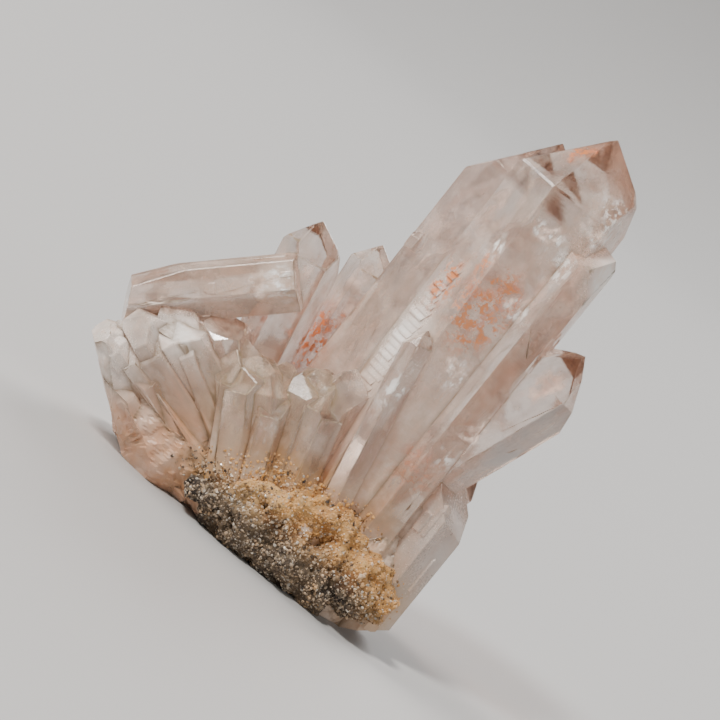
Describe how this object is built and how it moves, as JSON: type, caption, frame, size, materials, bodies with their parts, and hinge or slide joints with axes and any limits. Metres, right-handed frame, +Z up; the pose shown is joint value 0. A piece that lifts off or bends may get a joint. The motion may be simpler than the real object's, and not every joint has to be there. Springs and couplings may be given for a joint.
{
  "type": "pink quartz crystal cluster",
  "caption": "Pale pink quartz points fanning up and out from one massive root, with granular matrix on its lower front; it stands on a flat spot under the root.",
  "frame": {"origin": "under the middle of the cluster's bounding box, on the surface that it stands on", "axes": "+Z up, nearly along the main point; +X towards the leaning point's side; -Y is the side that shows the big points"},
  "size_m": [0.0726, 0.0386, 0.0917],
  "materials": {
    "pink_quartz": "glassy crystal faces on the points, frosted and milky on the root",
    "ochre_matrix": "rough, granular, with small glinting grains"
  },
  "bodies": {
    "root": {"quartz_cluster": "pink_quartz", "matrix_crust": "ochre_matrix"}
  },
  "joints": []
}
